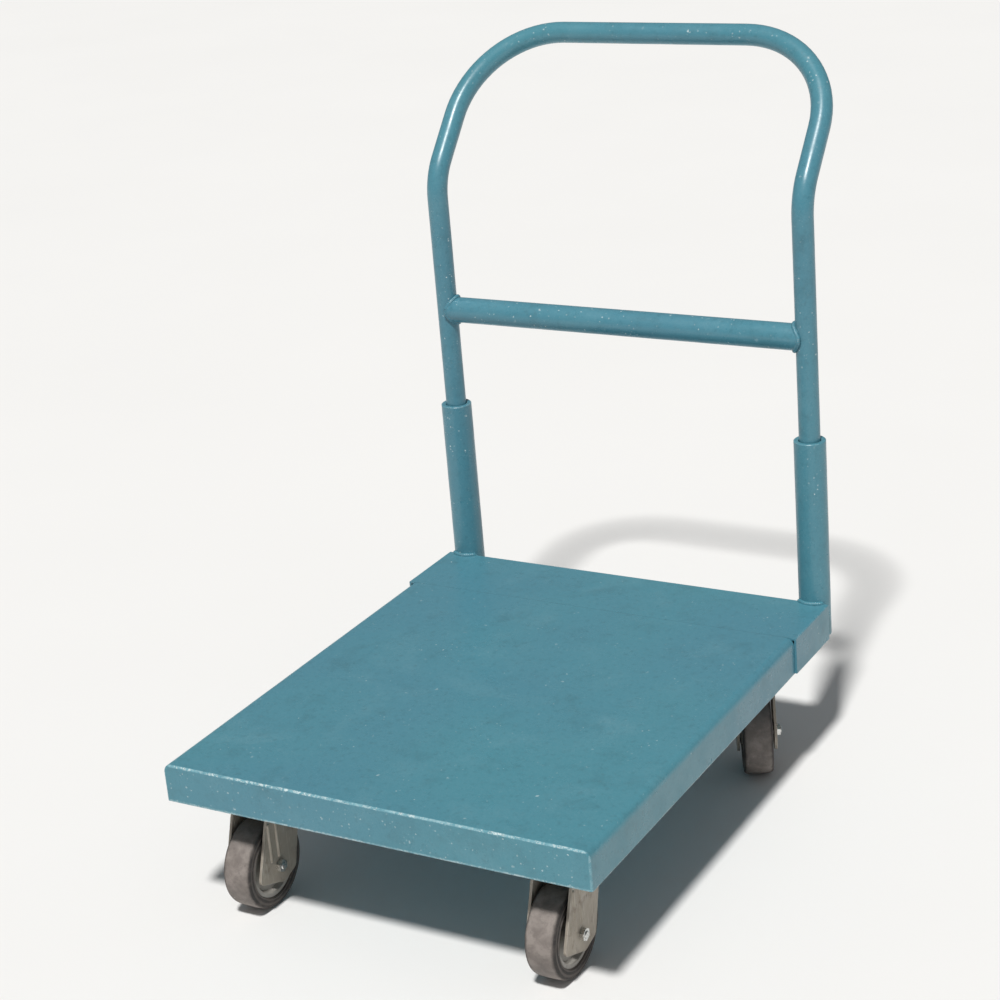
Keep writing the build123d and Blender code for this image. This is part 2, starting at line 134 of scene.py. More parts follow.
def nearEdge(tree, radius):  # 1 along sharp edges: there the rounded normal leaves the true one
    rounded = addNode(tree, "Bevel", samples=6)
    rounded.inputs["Radius"].default_value = radius
    compare = addNode(tree, "VectorMath", operation="DOT_PRODUCT")
    feed(tree, compare.inputs[0], rounded.outputs[0])
    feed(tree, compare.inputs[1], addNode(tree, "NewGeometry").outputs["Normal"])
    return fade(tree, calc(tree, "SUBTRACT", 1.0, compare.outputs["Value"]), 0.004, 0.16)


def softEdges(tree, radius):  # a normal that rounds sharp edges off
    rounded = addNode(tree, "Bevel", samples=4)
    rounded.inputs["Radius"].default_value = radius
    return rounded.outputs[0]


def relief(tree, height, depth, below=None):  # height of 1 stands depth metres proud
    made = addNode(tree, "Bump")
    made.inputs["Strength"].default_value = 1.0
    made.inputs["Distance"].default_value = depth
    feed(tree, made.inputs["Height"], height)
    if below is not None:
        feed(tree, made.inputs["Normal"], below)
    return made.outputs[0]


def startFinish(name):
    made = bpy.data.materials.new(name)
    made.use_nodes = True
    tree = made.node_tree
    return made, tree, next(n for n in tree.nodes if n.type == "BSDF_PRINCIPLED")


def endFinish(tree, shader, colour, roughness, normal, **constants):
    feed(tree, shader.inputs["Base Color"], colour)
    feed(tree, shader.inputs["Roughness"], roughness)
    feed(tree, shader.inputs["Normal"], normal)
    for key, value in constants.items():
        shader.inputs[key].default_value = value


enamel = {
    "blue": (0.064, 0.214, 0.284),
    "greener": (0.065, 0.233, 0.293),
    "faded": (0.145, 0.310, 0.370),
    # rubbed: pale paint for worn edges, also used as a painted highlight along the deck's front edges
    "rubbed": (0.190, 0.390, 0.450),
    "grime": (0.030, 0.082, 0.098),
    "chip": (0.60, 0.71, 0.72),
    "bareSteel": (0.16, 0.15, 0.14),
    "fadedShare": 0.55,
    "streakShare": 0.35,
    "chipCover": 0.92,      # how far a chip hides the paint
    "bareShare": 0.7,       # how far a chip's heart shows steel
    "roughness": 0.31,
    "chipRoughness": 0.25,  # added where the paint is chipped
    "peelDepth": 0.00016,   # metres of orange peel
    "edgeRound": 0.0013,    # metres by which sharp edges look rounded
    "smallSpecks": (330.0, 0.40),   # cells per metre, then the largest speck in cells
    "largeSpecks": (150.0, 0.34),
    "largeShare": 0.40,     # large specks for each small one
    "frontChips": 0.06,     # share of cells chipped on the deck's front, beyond the usual
    "frontDepth": 0.004,    # metres behind the deck's front over which its heavier wear fades out
    "highlightWearWidth": 0.0014,  # metres each way from the deck's front edges painted pale, a painted highlight with some wear
    "highlightWearFade": 1.9,      # widths at which that painted highlight and wear end
    "lowerHighlightWear": 0.6,     # painted highlight and wear on the front's foot and side edges beside its top edge's
    "seamWidth": 0.003,     # metres each side of the deck's top seam kept free of edge wear
}
enamelKinds = {  # streaks are counted per metre on each axis; the edge radius is in metres
    "deckEnamel": {"chipShare": 0.05, "streaks": (260.0, 7.0, 60.0), "edgeRadius": 0.0026, "grime": 0.25},
    "tubeEnamel": {"chipShare": 0.16, "streaks": (120.0, 120.0, 9.0), "edgeRadius": 0.0013, "grime": 0.35},
    "underEnamel": {"chipShare": 0.07, "streaks": (40.0, 40.0, 40.0), "edgeRadius": 0.0015, "grime": 0.85},
    "weldEnamel": {"chipShare": 0.40, "streaks": (90.0, 90.0, 90.0), "edgeRadius": 0.0008, "grime": 0.45},
}
weldGrain = 0.0003  # metres of extra roughness on the weld beads
panLow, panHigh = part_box("deck_pan")
saddleLow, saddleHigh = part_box("rear_saddle")


def besideLine(tree, first, second):  # 1 where both distances from a line are small
    reach = calc(tree, "MAXIMUM", calc(tree, "ABSOLUTE", first), calc(tree, "ABSOLUTE", second))
    return fade(tree, reach, enamel["highlightWearWidth"], enamel["highlightWearWidth"] * enamel["highlightWearFade"], 1.0, 0.0)


# The deck's front edges are the lines where its front plane meets its top, foot and side planes; along them
# the paint is made pale, a painted highlight with some wear.
def frontEdgeHighlightAndWear(tree, axes):
    fromFront = calc(tree, "SUBTRACT", axes.outputs[1], panLow.y)
    fromTop = calc(tree, "SUBTRACT", axes.outputs[2], panHigh.z)
    fromFoot = calc(tree, "SUBTRACT", axes.outputs[2], panLow.z)
    fromSide = calc(tree, "SUBTRACT", calc(tree, "ABSOLUTE", axes.outputs[0]), panHigh.x)
    foot, side = besideLine(tree, fromFront, fromFoot), besideLine(tree, fromFront, fromSide)
    lower = times(tree, calc(tree, "MAXIMUM", foot, side), enamel["lowerHighlightWear"])
    return calc(tree, "MAXIMUM", besideLine(tree, fromFront, fromTop), lower)


# Colour is a blue-green that drifts in clouds about half a metre wide, fades in hand-sized ones, is rubbed
# pale in fine streaks, and is chipped in specks and along edges; along the deck's front edges it is also
# painted pale as a highlight, with wear; height is orange peel less the chips.
def enamelFinish(name):
    made, tree, shader = startFinish(name)
    kind = enamelKinds[name]
    place = onPiece(tree)
    axes = addNode(tree, "SeparateXYZ")
    feed(tree, axes.inputs[0], place)
    front = fade(tree, axes.outputs[1], panLow.y, panLow.y + enamel["frontDepth"], 1.0, 0.0)
    offSeam = calc(tree, "ABSOLUTE", calc(tree, "SUBTRACT", axes.outputs[1], saddleLow.y))
    seamless = fade(tree, offSeam, enamel["seamWidth"], enamel["seamWidth"] * 1.5)
    drift = fade(tree, cloud(tree, place, 2.3, 2.0), 0.35, 0.65)
    colour = tint(tree, drift, enamel["blue"], enamel["greener"])
    patch = fade(tree, cloud(tree, place, 11.0, 6.0, 0.62, 0.4), 0.48, 0.78)
    mottle = cloud(tree, place, 260.0, 4.0, 0.7)
    rub = times(tree, patch, fade(tree, mottle, 0.35, 0.7, 0.35, 0.9))
    colour = tint(tree, times(tree, rub, enamel["fadedShare"]), colour, enamel["faded"])
    grain = fade(tree, cloud(tree, place, 520.0, 3.0, 0.7), 0.3, 0.7, 0.0, 0.22)
    colour = tint(tree, grain, colour, enamel["faded"])
    freckles = fade(tree, cloud(tree, place, 140.0, 4.0, 0.7), 0.5, 0.75, 0.0, 0.25)
    colour = tint(tree, freckles, colour, enamel["grime"])
    streaks = fade(tree, cloud(tree, onPiece(tree, kind["streaks"]), 1.0, 3.0, 0.6, 0.2), 0.66, 0.72)
    streaks = times(tree, streaks, fade(tree, cloud(tree, place, 9.0, 3.0), 0.5, 0.68))
    colour = tint(tree, times(tree, streaks, enamel["streakShare"]), colour, enamel["faded"])
    dirty = times(tree, fade(tree, cloud(tree, place, 24.0, 6.0, 0.65), 0.5, 0.8), kind["grime"])
    colour = tint(tree, dirty, colour, enamel["grime"])
    gathered = fade(tree, cloud(tree, place, 16.0, 4.0, 0.6), 0.47, 0.64, 0.12, 1.0)
    gathered = calc(tree, "MAXIMUM", gathered, times(tree, front, 0.55))
    share = calc(tree, "ADD", times(tree, front, enamel["frontChips"]), kind["chipShare"])
    small = specks(tree, place, *enamel["smallSpecks"], share)
    large = specks(tree, place, *enamel["largeSpecks"], times(tree, share, enamel["largeShare"]))
    edge = times(tree, nearEdge(tree, kind["edgeRadius"]), seamless)
    spread = fade(tree, cloud(tree, place, 21.0, 3.0), 0.4, 0.65, -0.06, 0.09)
    frayed = calc(tree, "ADD", cloud(tree, place, 210.0, 5.0, 0.7), spread)
    ragged = times(tree, fade(tree, frayed, 0.49, 0.58), 0.8)
    # the deck's front edges: painted highlight with wear, used for the pale line and for chips
    frontHighlightAndWear = frontEdgeHighlightAndWear(tree, axes)
    broken = fade(tree, cloud(tree, place, 260.0, 4.0, 0.75), 0.48, 0.56)
    broken = times(tree, broken, fade(tree, cloud(tree, place, 33.0, 3.0), 0.40, 0.60, 0.25, 1.0))
    chips = times(tree, calc(tree, "MAXIMUM", small, large), gathered)
    chips = calc(tree, "MAXIMUM", chips, times(tree, fade(tree, edge, 0.0, 0.4), ragged))
    chips = calc(tree, "MAXIMUM", chips, times(tree, frontHighlightAndWear, broken))
    worn = fade(tree, cloud(tree, place, 90.0, 4.0, 0.7), 0.35, 0.62, 0.35, 1.0)
    # pale along edges: rubbed wear, and on the deck's front edges also a painted highlight
    rubbed = times(tree, calc(tree, "MAXIMUM", edge, frontHighlightAndWear), worn)
    colour = tint(tree, rubbed, colour, enamel["rubbed"])
    colour = tint(tree, times(tree, chips, enamel["chipCover"]), colour, enamel["chip"])
    heart = times(tree, chips, fade(tree, cloud(tree, place, 420.0, 2.0), 0.62, 0.7))
    colour = tint(tree, times(tree, heart, enamel["bareShare"]), colour, enamel["bareSteel"])
    uneven = fade(tree, cloud(tree, place, 30.0, 5.0), 0.3, 0.7, -0.07, 0.09)
    gloss = calc(tree, "ADD", uneven, enamel["roughness"])
    gloss = calc(tree, "ADD", gloss, times(tree, chips, enamel["chipRoughness"]))
    peel = cloud(tree, place, 330.0, 2.0, 0.5)
    height = calc(tree, "SUBTRACT", times(tree, peel, 0.5), chips)
    normal = relief(tree, height, enamel["peelDepth"], softEdges(tree, enamel["edgeRound"]))
    if name == "weldEnamel":
        normal = relief(tree, cloud(tree, place, 700.0, 4.0, 0.7), weldGrain, normal)
    endFinish(tree, shader, colour, gloss, normal)
    return made


pressedSteel = {
    "plate": (0.385, 0.342, 0.285),
    "rubbed": (0.66, 0.62, 0.56),
    "stain": (0.130, 0.104, 0.080),
    "dust": (0.46, 0.42, 0.36),
    "metal": 0.35,
    "edgeRadius": 0.0011,       # metres over which edges are rubbed bright
    "edgeRound": 0.0005,        # metres by which sharp edges look rounded
    "grainDepth": 0.00010,      # metres
    "rubMarks": (420.0, 420.0, 26.0),   # marks per metre on each axis
    "pits": (420.0, 0.22, 0.12),    # cells per metre, the largest pit in cells, and the share with a pit
}


# Colour is dull plated steel with darker stains in clouds, dust in smaller ones, fine upright rub marks,
# pits and brighter edges; height is the mill grain less the pits.
def steelFinish(name):
    made, tree, shader = startFinish(name)
    place = onPiece(tree)
    stain = fade(tree, cloud(tree, place, 38.0, 6.0, 0.66, 0.6), 0.5, 0.74, 0.0, 0.85)
    colour = tint(tree, stain, pressedSteel["plate"], pressedSteel["stain"])
    dust = fade(tree, cloud(tree, place, 85.0, 5.0, 0.6), 0.45, 0.7, 0.0, 0.45)
    colour = tint(tree, dust, colour, pressedSteel["dust"])
    marks = fade(tree, cloud(tree, onPiece(tree, pressedSteel["rubMarks"]), 1.0, 3.0), 0.57, 0.7, 0.0, 0.4)
    colour = tint(tree, marks, colour, pressedSteel["rubbed"])
    pits = specks(tree, place, *pressedSteel["pits"])
    colour = tint(tree, times(tree, pits, 0.7), colour, pressedSteel["stain"])
    uneven = fade(tree, cloud(tree, place, 140.0, 4.0), 0.34, 0.6, 0.3, 1.0)
    edge = times(tree, nearEdge(tree, pressedSteel["edgeRadius"]), uneven)
    colour = tint(tree, times(tree, edge, 0.75), colour, pressedSteel["rubbed"])
    gloss = fade(tree, cloud(tree, place, 60.0, 5.0), 0.3, 0.7, 0.42, 0.62)
    gloss = calc(tree, "SUBTRACT", gloss, times(tree, edge, 0.15))
    height = calc(tree, "SUBTRACT", cloud(tree, place, 620.0, 4.0, 0.6), pits)
    normal = relief(tree, height, pressedSteel["grainDepth"], softEdges(tree, pressedSteel["edgeRound"]))
    endFinish(tree, shader, colour, gloss, normal, Metallic=pressedSteel["metal"])
    return made


zinc = {
    "bright": (0.74, 0.74, 0.72),
    "dull": (0.46, 0.45, 0.42),
    "smear": (0.30, 0.28, 0.25),
    "edgeRadius": 0.0006,   # metres over which edges stay bright
    "edgeRound": 0.0004,    # metres by which sharp edges look rounded
    "grainDepth": 0.00004,  # metres
}


# Colour is bright plate dulled in small clouds with a few darker smears; edges stay bright.
def zincFinish(name):
    made, tree, shader = startFinish(name)
    place = onPiece(tree)
    dull = fade(tree, cloud(tree, place, 170.0, 4.0, 0.6), 0.42, 0.7)
    colour = tint(tree, dull, zinc["bright"], zinc["dull"])
    smear = fade(tree, cloud(tree, place, 75.0, 5.0, 0.7, 0.8), 0.58, 0.72, 0.0, 0.7)
    colour = tint(tree, smear, colour, zinc["smear"])
    edge = nearEdge(tree, zinc["edgeRadius"])
    colour = tint(tree, times(tree, edge, 0.8), colour, zinc["bright"])
    gloss = fade(tree, cloud(tree, place, 230.0, 3.0), 0.3, 0.7, 0.20, 0.42)
    grain = cloud(tree, place, 1500.0, 2.0)
    normal = relief(tree, grain, zinc["grainDepth"], softEdges(tree, zinc["edgeRound"]))
    endFinish(tree, shader, colour, gloss, normal, Metallic=1.0)
    return made


rubber = {
    "tread": (0.165, 0.142, 0.129),
    "treadPale": (0.270, 0.238, 0.218),
    "side": (0.095, 0.083, 0.075),
    "ringShadeColour": (0.022, 0.020, 0.019),
    "fleck": (0.80, 0.79, 0.76),
    "shadeRingCount": 2.25,              # rings of painted shade on each sidewall
    "shoulder": (0.74, 0.93),   # shares of the half width between which tread turns to sidewall
    "grit": (260.0, 0.17, 0.05),    # cells per metre, the largest fleck in cells, and the share with one
    "grainDepth": 0.00016,      # metres
}


# Colour goes by the stored radius and width: a dusty tread, then rings of painted shade and bare rubber on
# the sidewall, dusted in clouds, with a few pale flecks of grit; height is fine grain with shallow scuffs.
def rubberFinish(name):
    made, tree, shader = startFinish(name)
    place = onPiece(tree)
    outward = addNode(tree, "Attribute", attribute_name="outward").outputs["Fac"]
    sideways = addNode(tree, "Attribute", attribute_name="sideways").outputs["Fac"]
    dusty = cloud(tree, place, 55.0, 6.0, 0.65, 0.3)
    tread = tint(tree, fade(tree, dusty, 0.35, 0.68), rubber["tread"], rubber["treadPale"])
    scuffs = fade(tree, cloud(tree, place, 190.0, 5.0, 0.7), 0.5, 0.75, 0.0, 0.4)
    tread = tint(tree, scuffs, tread, rubber["side"])
    # near-black rings on the sidewall: painted shade
    ring = calc(tree, "SINE", times(tree, outward, 2.0 * math.pi * rubber["shadeRingCount"]))
    side = tint(tree, fade(tree, ring, -0.4, 0.75), rubber["ringShadeColour"], rubber["side"])
    side = tint(tree, fade(tree, dusty, 0.4, 0.75, 0.0, 0.55), side, rubber["tread"])
    wander = calc(tree, "ADD", sideways, fade(tree, cloud(tree, place, 120.0, 4.0), 0.3, 0.7, -0.05, 0.05))
    colour = tint(tree, fade(tree, wander, *rubber["shoulder"]), tread, side)
    colour = tint(tree, specks(tree, place, *rubber["grit"]), colour, rubber["fleck"])
    gloss = fade(tree, dusty, 0.3, 0.7, 0.62, 0.88)
    shallow = times(tree, cloud(tree, place, 130.0, 5.0), 2.0)
    height = calc(tree, "ADD", cloud(tree, place, 900.0, 4.0, 0.65), shallow)
    endFinish(tree, shader, colour, gloss, relief(tree, height, rubber["grainDepth"]))
    return made


plainFinishes = {
    "wheelCore": {
        "main": (0.36, 0.345, 0.315), "worn": (0.17, 0.155, 0.14),
        "roughness": (0.45, 0.7), "metal": 0.0, "grainDepth": 0.0001,
    },
    "bearingBronze": {
        "main": (0.42, 0.27, 0.12), "worn": (0.16, 0.10, 0.05),
        "roughness": (0.28, 0.5), "metal": 1.0, "grainDepth": 0.00005,
    },
    "ballSteel": {
        "main": (0.70, 0.70, 0.70), "worn": (0.35, 0.33, 0.30),
        "roughness": (0.10, 0.25), "metal": 1.0, "grainDepth": 0.00002,
    },
}
plainEdge = {"radius": 0.0008, "round": 0.0005}  # metres rubbed along edges, and by which they look rounded


# Colour goes from main to worn in clouds and fine spots, and the edges are rubbed back to main.
def plainFinish(name):
    made, tree, shader = startFinish(name)
    given = plainFinishes[name]
    place = onPiece(tree)
    worn = fade(tree, cloud(tree, place, 65.0, 6.0, 0.68, 0.5), 0.48, 0.75, 0.0, 0.8)
    colour = tint(tree, worn, given["main"], given["worn"])
    spots = specks(tree, place, 350.0, 0.25, 0.1)
    colour = tint(tree, times(tree, spots, 0.6), colour, given["worn"])
    colour = tint(tree, times(tree, nearEdge(tree, plainEdge["radius"]), 0.5), colour, given["main"])
    gloss = fade(tree, cloud(tree, place, 120.0, 4.0), 0.3, 0.7, *given["roughness"])
    grain = cloud(tree, place, 800.0, 4.0)
    normal = relief(tree, grain, given["grainDepth"], softEdges(tree, plainEdge["round"]))
    endFinish(tree, shader, colour, gloss, normal, Metallic=given["metal"])
    return made


finishes = {name: enamelFinish(name) for name in enamelKinds}
finishes["pressedSteel"] = steelFinish("pressedSteel")
finishes["brightZinc"] = zincFinish("brightZinc")
finishes["tyreRubber"] = rubberFinish("tyreRubber")
finishes.update((name, plainFinish(name)) for name in plainFinishes)
print("finishes made,", len(finishes))


nodeFinish = {
    "deck_pan": "deckEnamel", "rear_saddle": "deckEnamel",
    "handle_hoop": "tubeEnamel", "handle_crossbar": "tubeEnamel",
    "left_socket": "tubeEnamel", "right_socket": "tubeEnamel", "socket_caps": "underEnamel",
    "front_cross_member": "underEnamel", "rear_cross_member": "underEnamel",
    "plate_bolts": "brightZinc", "lock_washers": "brightZinc", "weld_nuts": "brightZinc",
}
endingFinish = {
    "_plate": "pressedSteel", "_fork": "pressedSteel", "_race_cap": "pressedSteel",
    "_kingpin": "brightZinc", "_axle_sleeve": "brightZinc",
    "_axle_bolt": "brightZinc", "_axle_nut": "brightZinc",
    "_race_balls": "ballSteel", "_wheel_bush": "bearingBronze",
    "_wheel_core": "wheelCore", "_tyre": "tyreRubber",
}


def finishOf(name):
    byEnding = (finish for ending, finish in endingFinish.items() if name.endswith(ending))
    return nodeFinish.get(name) or next(byEnding, "weldEnamel")


for name, piece in nodes.items():
    piece.data.materials.clear()
    piece.data.materials.append(finishes[finishOf(name)])
print("CAD nodes finished")


# A grid of points (rows, columns, 3), closed round its columns; its rows close too, or end in flat caps.
def pieceFromGrid(name, grid, rowsClose, finish, body, attributes=()):
    rows, columns = grid.shape[:2]
    bands = rows if rowsClose else rows - 1
    row, column = np.meshgrid(np.arange(bands) * columns, np.arange(columns), indexing="ij")
    nextRow, nextColumn = (row + columns) % (rows * columns), (column + 1) % columns
    quads = np.stack((row + column, nextRow + column, nextRow + nextColumn, row + nextColumn), -1)
    quads = quads.reshape(-1, 4)
    points = grid.reshape(-1, 3)
    corners = points[quads]
    spans = np.cross(corners[:, 1], corners[:, 2]) + np.cross(corners[:, 2], corners[:, 3])
    volume = np.einsum("ij,ij->", corners[:, 0], spans)  # negative where the faces point inward
    faces = quads.tolist()
    if not rowsClose:
        faces += [list(range(columns)), list(range(rows * columns - 1, (rows - 1) * columns - 1, -1))]
    mesh = bpy.data.meshes.new(name)
    mesh.from_pydata(points.tolist(), [], faces if volume > 0 else [face[::-1] for face in faces])
    mesh.polygons.foreach_set("use_smooth", np.ones(len(mesh.polygons), bool))
    for key, values in attributes:
        stored = mesh.attributes.new(key, "FLOAT", "POINT")
        stored.data.foreach_set("value", values.astype(np.float32).ravel())
    mesh.materials.append(finishes[finish])
    mesh.update()
    piece = bpy.data.objects.new(name, mesh)
    bpy.context.scene.collection.objects.link(piece)
    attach(piece, body)
    return piece


weld = {
    "ripple": 0.0021,      # metres between ripples
    "rippleDepth": 0.11,   # share of the bead's radius
    "endTaper": 1.4,       # radii over which an open end shrinks to nothing
    "swings": ((0.07, 3.0), (0.04, 7.0)),   # slow changes: share of the radius, then times per bead
    "around": 18,
    "step": 0.0005,        # metres between rings
}


# A bead is a circle carried along a line. Its radius swells at each ripple, like laid-over coins, wanders a
# little, and shrinks to nothing at an open end.
def rippledBead(line, radius, closed, phase=0.0):
    ahead = np.roll(line, -1, 0) - np.roll(line, 1, 0) if closed else np.gradient(line, axis=0)
    ahead /= np.linalg.norm(ahead, axis=1, keepdims=True)
    gaps = np.linalg.norm(np.diff(line, axis=0), axis=1)
    along = np.concatenate(([0.0], np.cumsum(gaps)))
    total = along[-1] + (np.linalg.norm(line[0] - line[-1]) if closed else 0.0)
    count = max(1, round(total / weld["ripple"]))
    turn = (along / total * count + phase) % 1.0
    swell = 1.0 + weld["rippleDepth"] * (np.sqrt(1.0 - (1.6 * turn - 0.8) ** 2) - 0.8) / 0.2
    (slow, slowTimes), (quick, quickTimes) = weld["swings"]
    lap = 2 * math.pi * along / total
    wander = 1.0 + slow * np.sin(lap * slowTimes + phase) + quick * np.sin(lap * quickTimes)
    size = radius * swell * wander
    if not closed:
        fromEnd = np.minimum(along, total - along) / (weld["endTaper"] * radius)
        size = size * np.sqrt(np.clip(1.0 - (1.0 - np.clip(fromEnd, 0.02, 1.0)) ** 2, 0.0, 1.0))
    helper = (0.31, 0.17, 0.93) if closed else (0.95, 0.21, 0.23)  # no line runs along its helper
    sideways = np.cross(ahead, helper)
    sideways /= np.linalg.norm(sideways, axis=1, keepdims=True)
    upward = np.cross(sideways, ahead)
    angle = np.linspace(0.0, 2.0 * math.pi, weld["around"], endpoint=False)[None, :, None]
    ring = np.cos(angle) * sideways[:, None] + np.sin(angle) * upward[:, None]
    return line[:, None] + size[:, None, None] * ring


socketLow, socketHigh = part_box("right_socket")
socketX = (socketLow.x + socketHigh.x) / 2
legY = (socketLow.y + socketHigh.y) / 2
socketRadius = (socketHigh.x - socketLow.x) / 2
socketBead = {
    "radius": 0.0027,
    "standOff": 0.0005,     # metres from the line to the tube and the plate
    "cornerRise": 0.0022,   # metres below the deck's edge where the climb ends
    "footRise": 0.0015,     # metres above the saddle's foot where it starts
    "overlap": 0.10,        # radians by which the turn round the tube starts early and ends late
    "smoothing": 11,        # points averaged where the line turns
}


# The line climbs the saddle's rear face beside the tube, turns over the deck's edge, goes round the tube's
# front and down the other side.
def socketWeldLine(side):
    reach = socketRadius + socketBead["standOff"]
    back = legY - saddleHigh.y - socketBead["standOff"]
    start = math.asin(back / reach)
    climbStart, climbEnd = saddleLow.z + socketBead["footRise"], saddleHigh.z - socketBead["cornerRise"]
    climb = np.arange(climbStart, climbEnd, weld["step"])
    arcEnd = start - math.pi + socketBead["overlap"]
    arc = np.arange(-start - socketBead["overlap"], arcEnd, -weld["step"] / reach)
    foot = np.full_like(climb, reach * math.cos(start))
    level = np.full_like(arc, saddleHigh.z + socketBead["standOff"])
    up = np.stack((foot, np.full_like(climb, -back), climb), 1)
    over = np.stack((reach * np.cos(arc), reach * np.sin(arc), level), 1)
    line = np.concatenate((up, over, up[::-1] * (-1.0, 1.0, 1.0)))
    window = np.hanning(socketBead["smoothing"])
    kernel = window / window.sum()
    margin = socketBead["smoothing"] // 2
    padded = np.pad(line, ((margin, margin), (0, 0)), mode="edge")
    smooth = np.stack([np.convolve(padded[:, axis], kernel, mode="valid") for axis in range(3)], 1)
    return smooth + (side * socketX, legY, 0.0)


def weldPiece(name, line, radius, closed, phase, body="deck"):
    bead = rippledBead(line, radius, closed, phase)
    return pieceFromGrid(name, bead, closed, "weldEnamel", body)


socketBeads = [
    weldPiece(f"socketWeld{label}", socketWeldLine(side), socketBead["radius"], False, 0.3 * side)
    for label, side in (("Left", -1), ("Right", 1))
]
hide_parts("socket_welds")

barLow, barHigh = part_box("handle_crossbar")
barRadius = (barHigh.z - barLow.z) / 2
barZ = (barHigh.z + barLow.z) / 2
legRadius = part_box("handle_hoop")[1].x - socketX
crossbarBead = {
    "radius": 0.0026,
    "offBar": 0.0004,   # metres from the line to the bar
    "offLeg": 0.0006,   # metres from the line to the leg
    "flank": 0.0052,    # metres the line keeps inward of the leg's middle at its front and back
    "widening": 1.02,   # times the leg's width that the line reaches across
}


# The line follows the crossbar's outline where it meets the leg: an ellipse in the bar's section, pushed out
# along the bar to the leg's round face.
def crossbarWeldLine(side):
    count = round(2.0 * math.pi * barRadius / weld["step"])
    angle = np.linspace(0.0, 2.0 * math.pi, count, endpoint=False)
    legReach = legRadius + crossbarBead["offLeg"]
    across = legReach * np.sin(angle) * crossbarBead["widening"]
    height = (barRadius + crossbarBead["offBar"]) * np.cos(angle)
    room = np.maximum(legReach ** 2 - across ** 2, 0.0)
    inward = np.sqrt(room + crossbarBead["flank"] ** 2)
    return np.stack((side * (socketX - inward), legY + across, barZ + height), 1)


crossbarBeads = [
    weldPiece(
        f"crossbarWeld{label}", crossbarWeldLine(side), crossbarBead["radius"], True, 0.4 * side, "handle",
    )
    for label, side in (("Left", -1), ("Right", 1))
]
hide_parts("crossbar_welds")

memberBead = {
    "radius": 0.0024,
    "length": 0.040,
    "count": 4,         # beads on each flange
    "sheet": 0.0027,    # metres of deck sheet, with its play
    "inset": 0.0006,    # metres from the line to the flange and the sheet
    "frontGap": 0.004,  # metres a flange needs before it to be welded
}


# Short straight lines in the corner between each member's flange and the deck's underside.
def memberWeldLines():
    under = saddleHigh.z - memberBead["sheet"] - memberBead["inset"]
    half = (panHigh.x - panLow.x) / 2 - memberBead["sheet"]
    places = (np.arange(memberBead["count"]) + 0.5) * 2.0 * half / memberBead["count"] - half
    run = np.arange(-memberBead["length"] / 2, memberBead["length"] / 2, weld["step"] * 1.5)
    for label in ("front", "rear"):
        low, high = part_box(f"{label}_cross_member")
        for y, outward in ((low.y, -1), (high.y, 1)):
            if y + outward * memberBead["frontGap"] < panLow.y + memberBead["sheet"]:
                continue
            beside = np.full_like(run, y + outward * memberBead["inset"])
            for x in places:
                yield np.stack((run + x, beside, np.full_like(run, under)), 1)


memberBeads = [
    weldPiece(f"memberWeld{index}", line, memberBead["radius"], False, 0.37 * index)
    for index, line in enumerate(memberWeldLines())
]
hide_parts("member_welds")
print("weld beads laid,", len(socketBeads) + len(crossbarBeads) + len(memberBeads))


tyreShape = {
    "inner": 0.0380,
    "squareOut": 0.46,      # power on sine and cosine above the widest line; smaller is squarer
    "squareIn": 0.25,       # the same below it
    "wallStart": 0.75,      # share of the half width where the sidewall starts
    "grooveAt": 0.0418, "grooveWide": 0.0010, "grooveDeep": 0.0011,
    "beadAt": 0.0396, "beadWide": 0.0009, "beadHigh": 0.0005,
    "around": 144,
    "across": 96,
}
squareLow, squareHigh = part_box("front_left_tyre")  # this wheel stands square to the axes
halfWidth = (squareHigh.x - squareLow.x) / 2


# The section is a rounded box, with a groove and a bead pressed into each sidewall as bell curves of the
# radius; it is carried once round the axle.
def tyreGrid(low, high, joint):
    outer, inner = (high.z - low.z) / 2, tyreShape["inner"]
    middle, rise = (outer + inner) / 2, (outer - inner) / 2
    turn = np.linspace(0.0, 2.0 * math.pi, tyreShape["across"], endpoint=False)
    power = np.where(np.sin(turn) > 0, tyreShape["squareOut"], tyreShape["squareIn"])
    width = halfWidth * np.sign(np.cos(turn)) * np.abs(np.cos(turn)) ** power
    radius = middle + rise * np.sign(np.sin(turn)) * np.abs(np.sin(turn)) ** power
    fromGroove = (radius - tyreShape["grooveAt"]) / tyreShape["grooveWide"]
    groove = tyreShape["grooveDeep"] * np.exp(-fromGroove ** 2)
    fromBead = (radius - tyreShape["beadAt"]) / tyreShape["beadWide"]
    bead = tyreShape["beadHigh"] * np.exp(-fromBead ** 2)
    beyond = np.abs(width) / halfWidth - tyreShape["wallStart"]
    onSide = np.clip(beyond / (1.0 - tyreShape["wallStart"]), 0.0, 1.0)
    width = width - np.sign(width) * onSide * (groove - bead)
    axle = np.array(joint["axis"], float)
    level = np.cross((0.0, 0.0, 1.0), axle)
    spin = np.linspace(0.0, 2.0 * math.pi, tyreShape["around"], endpoint=False)
    spoke = np.cos(spin)[:, None] * level + np.sin(spin)[:, None] * (0.0, 0.0, 1.0)
    hub = np.array(joint["pos_m"])
    grid = hub + radius[None, :, None] * spoke[:, None] + width[None, :, None] * axle
    outward = np.tile((radius - inner) / (outer - inner), (len(spin), 1))
    sideways = np.tile(np.abs(width) / halfWidth, (len(spin), 1))
    return grid, outward, sideways


for corner in ("front_left", "front_right", "rear_left", "rear_right"):
    grid, outward, sideways = tyreGrid(*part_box(f"{corner}_tyre"), joints[f"{corner}_wheel_spin"])
    tyre = pieceFromGrid(
        f"{corner}_wornTyre", grid, True, "tyreRubber", f"{corner}_wheel",
        (("outward", outward), ("sideways", sideways)),
    )
    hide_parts(f"{corner}_tyre")
print("tyres turned, 4")


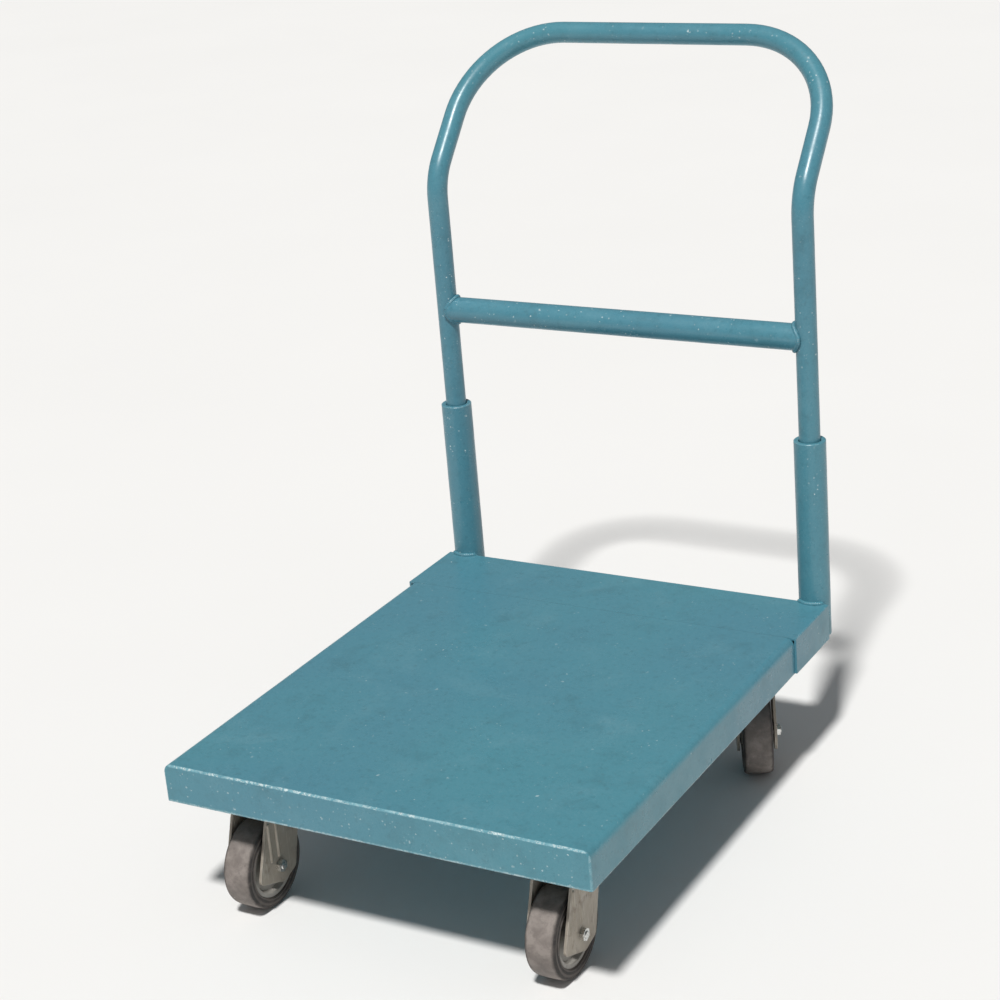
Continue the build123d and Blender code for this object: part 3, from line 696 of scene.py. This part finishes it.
studio = {
    "floorSize": 40.0,
    "floorColour": (0.83, 0.83, 0.825),
    "floorDrift": (0.80, 0.80, 0.795),
    "floorRoughness": 0.85,
    "skyColour": (0.97, 0.98, 1.0, 1.0),
    "skyStrength": 0.20,
    "aim": (0.0, 0.0, 0.25),
}
lights = {  # a sun has its spread as an angle and its power per square metre; an area in metres and watts
    "keyLight": {
        "kind": "SUN", "place": (0.6, -2.4, 5.0), "spread": math.radians(6.0),
        "power": 3.4, "colour": (1.0, 0.985, 0.96),
    },
    "fillLight": {
        "kind": "AREA", "place": (3.4, -2.2, 1.6), "spread": 2.5,
        "power": 2.0, "colour": (0.93, 0.96, 1.0),
    },
}
camera = {
    "place": (1.1992, -2.0780, 1.3023),
    "azimuth": 30.846,      # degrees about +Z
    "elevation": 21.004,    # degrees above the horizon
    "roll": -4.864,
    "focal": 81.41,         # millimetres
    "sensor": 36.0,         # millimetres
}

floorHalf = studio["floorSize"] / 2
floorCorners = [(x * floorHalf, y * floorHalf, 0.0) for x, y in ((-1, -1), (1, -1), (1, 1), (-1, 1))]
floorMesh = bpy.data.meshes.new("floor")
floorMesh.from_pydata(floorCorners, [], [(0, 1, 2, 3)])
floor = bpy.data.objects.new("floor", floorMesh)
bpy.context.scene.collection.objects.link(floor)
floorFinish, floorTree, floorShader = startFinish("paleFloor")
floorPlace = onPiece(floorTree)
floorShade = cloud(floorTree, floorPlace, 1.5, 3.0)
floorTone = tint(floorTree, floorShade, studio["floorColour"], studio["floorDrift"])
floorGrain = relief(floorTree, cloud(floorTree, floorPlace, 60.0, 3.0), 0.0001)
endFinish(floorTree, floorShader, floorTone, studio["floorRoughness"], floorGrain)
floorMesh.materials.append(floorFinish)

world = bpy.data.worlds.new("studioSky")
world.use_nodes = True
sky = world.node_tree.nodes["Background"]
sky.inputs["Color"].default_value = studio["skyColour"]
sky.inputs["Strength"].default_value = studio["skyStrength"]
bpy.context.scene.world = world


for name, given in lights.items():
    lamp = bpy.data.lights.new(name, given["kind"])
    setattr(lamp, "angle" if given["kind"] == "SUN" else "size", given["spread"])
    lamp.energy = given["power"]
    lamp.color = given["colour"]
    holder = bpy.data.objects.new(name, lamp)
    holder.location = given["place"]
    shining = Vector(studio["aim"]) - Vector(given["place"])
    holder.rotation_euler = shining.to_track_quat("-Z", "Y").to_euler()
    bpy.context.scene.collection.objects.link(holder)

lens = bpy.data.cameras.new("camera")
lens.lens = camera["focal"]
lens.sensor_width = camera["sensor"]
eye = bpy.data.objects.new("camera", lens)
turn, tilt = math.radians(camera["azimuth"]), math.radians(camera["elevation"])
ahead = Vector((-math.sin(turn) * math.cos(tilt), math.cos(turn) * math.cos(tilt), -math.sin(tilt)))
facing = ahead.to_track_quat("-Z", "Y").to_matrix().to_4x4()
rolled = Matrix.Rotation(math.radians(camera["roll"]), 4, "Z")
eye.matrix_world = Matrix.Translation(camera["place"]) @ facing @ rolled
bpy.context.scene.collection.objects.link(eye)
bpy.context.scene.camera = eye
bpy.context.scene.view_settings.view_transform = "Standard"
print("floor, light and camera set")
